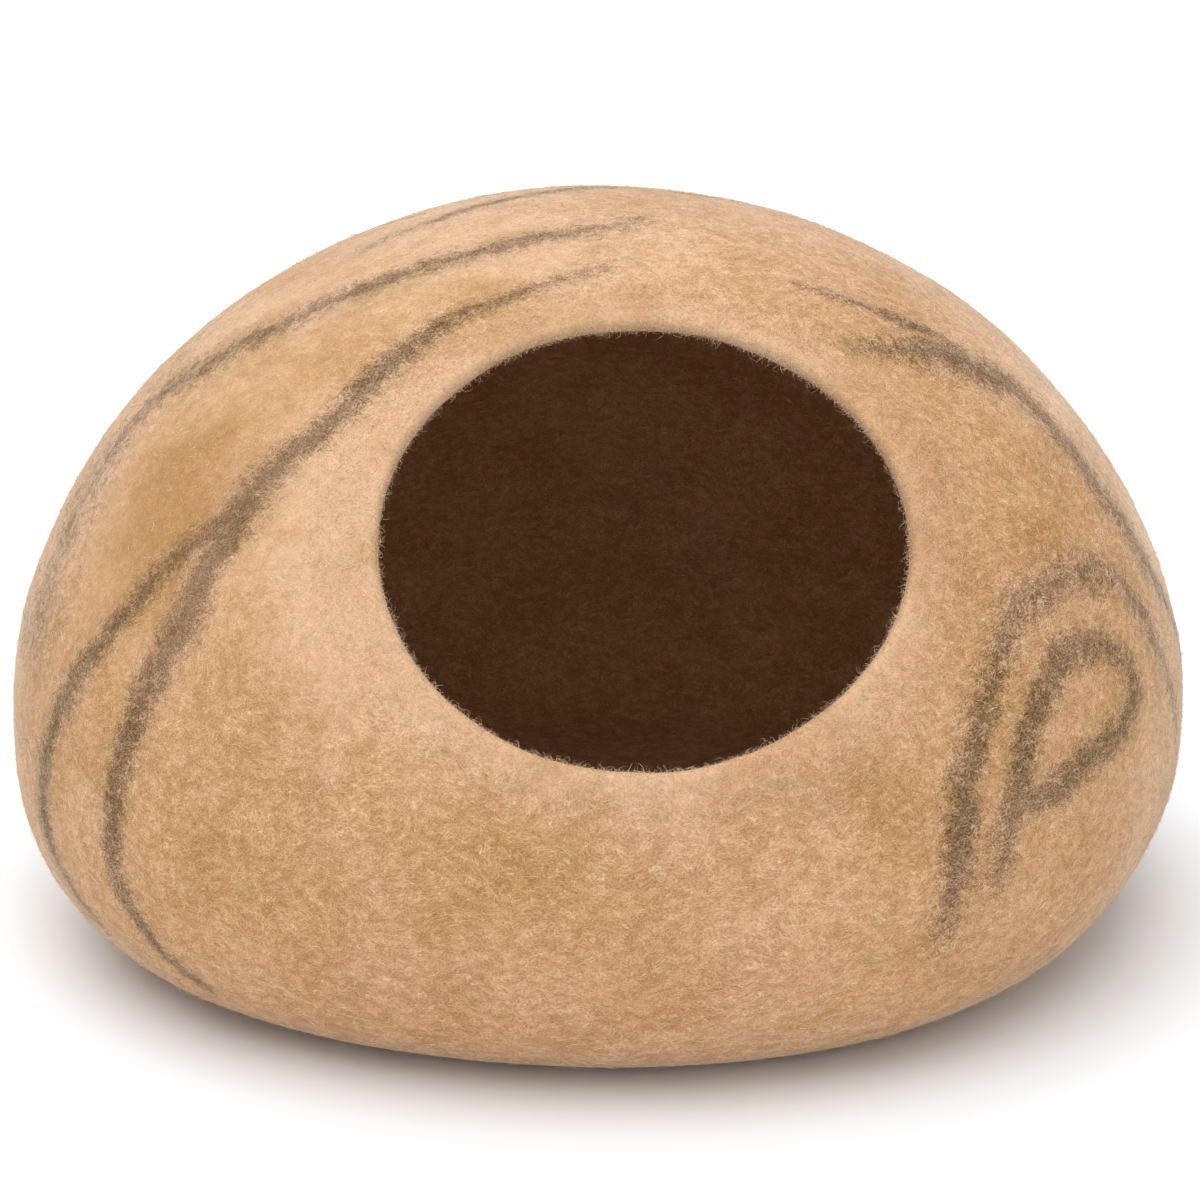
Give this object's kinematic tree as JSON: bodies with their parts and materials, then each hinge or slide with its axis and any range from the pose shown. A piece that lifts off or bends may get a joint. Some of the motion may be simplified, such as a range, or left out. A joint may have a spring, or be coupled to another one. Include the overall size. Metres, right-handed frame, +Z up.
{
  "type": "felt cat cave",
  "caption": "Domed pet bed felted from wool in one seamless piece, with a flat base, a round bulging wall and one slanted, nearly round mouth at the front.",
  "frame": {"origin": "middle of the flat base, on the surface that the cave stands on", "axes": "+Z up, the mouth faces -Y, and +X is to the right of someone who looks at the mouth"},
  "size_m": [0.4975, 0.5013, 0.304],
  "materials": {
    "felt": "thick wet-felted wool, matt and slightly hairy, mottled tan with soft darker veins"
  },
  "bodies": {
    "root": {"felt_shell": "felt"}
  },
  "joints": []
}
